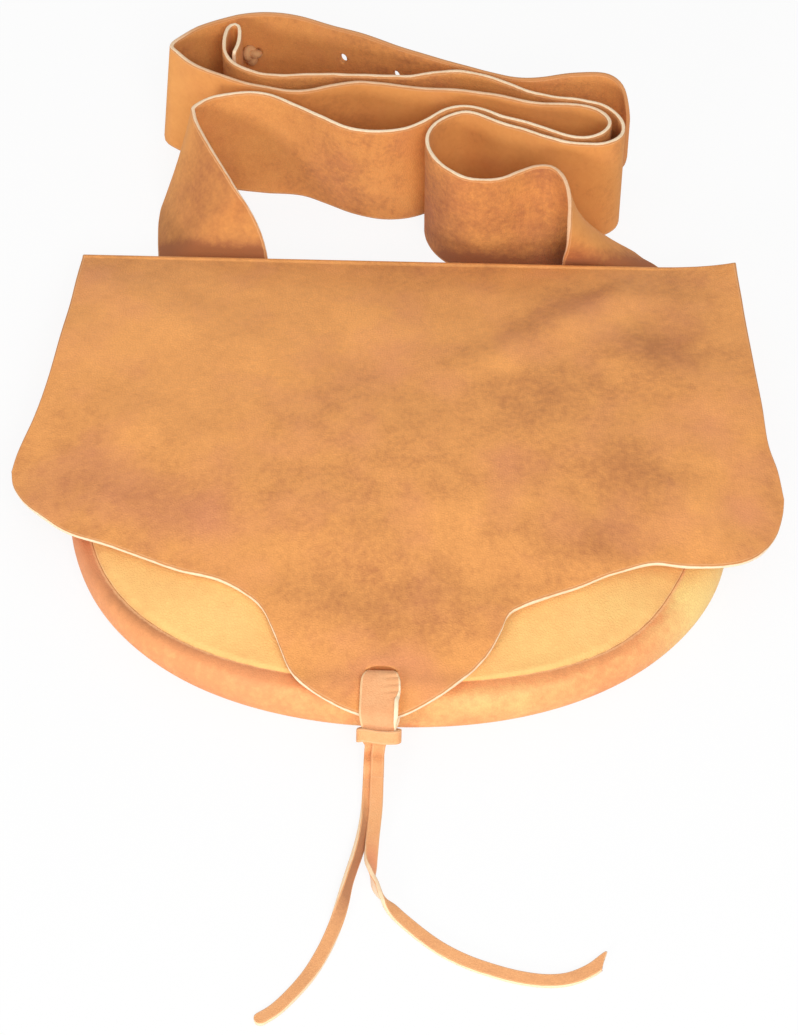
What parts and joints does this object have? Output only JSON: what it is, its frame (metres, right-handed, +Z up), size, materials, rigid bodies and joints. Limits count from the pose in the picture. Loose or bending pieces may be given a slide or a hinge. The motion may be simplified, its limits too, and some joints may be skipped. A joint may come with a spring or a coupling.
{
  "type": "hunting bag",
  "caption": "Plain tan leather hunting bag with a rounded front flap, a slit-and-tab closure with a lace pull, and a long shoulder strap looped behind it.",
  "frame": {"origin": "middle of the flat back, on the table", "axes": "+Y from the bag's round bottom towards its fold and strap, +Z up out of the table towards the flap, +X to the right as seen from the bottom"},
  "size_m": [0.295, 0.4856, 0.0508],
  "materials": {
    "tan_leather": "matt, smooth grain",
    "pale_tan_leather": "matt, smooth grain",
    "flap_leather": "matt, mottled",
    "strap_leather": "matt, with pale cut edges",
    "lace_leather": "matt, soft",
    "thong": "matt, soft"
  },
  "bodies": {
    "body": {"back_panel": "tan_leather", "front_panel": "pale_tan_leather", "gusset": "pale_tan_leather", "strap_left": "strap_leather", "strap_right": "strap_leather", "strap_tie": "thong"},
    "flap": {"flap": "flap_leather", "closure_tab": "lace_leather", "lace_hitch": "lace_leather", "lace_tail_left": "lace_leather", "lace_tail_right": "lace_leather"}
  },
  "joints": [
    {"name": "flap_hinge", "type": "hinge", "parent": "body", "child": "flap", "pos_m": [0, 0.11, 0.0203], "axis": [-1, 0, 0], "range_deg": [0, 76]}
  ]
}
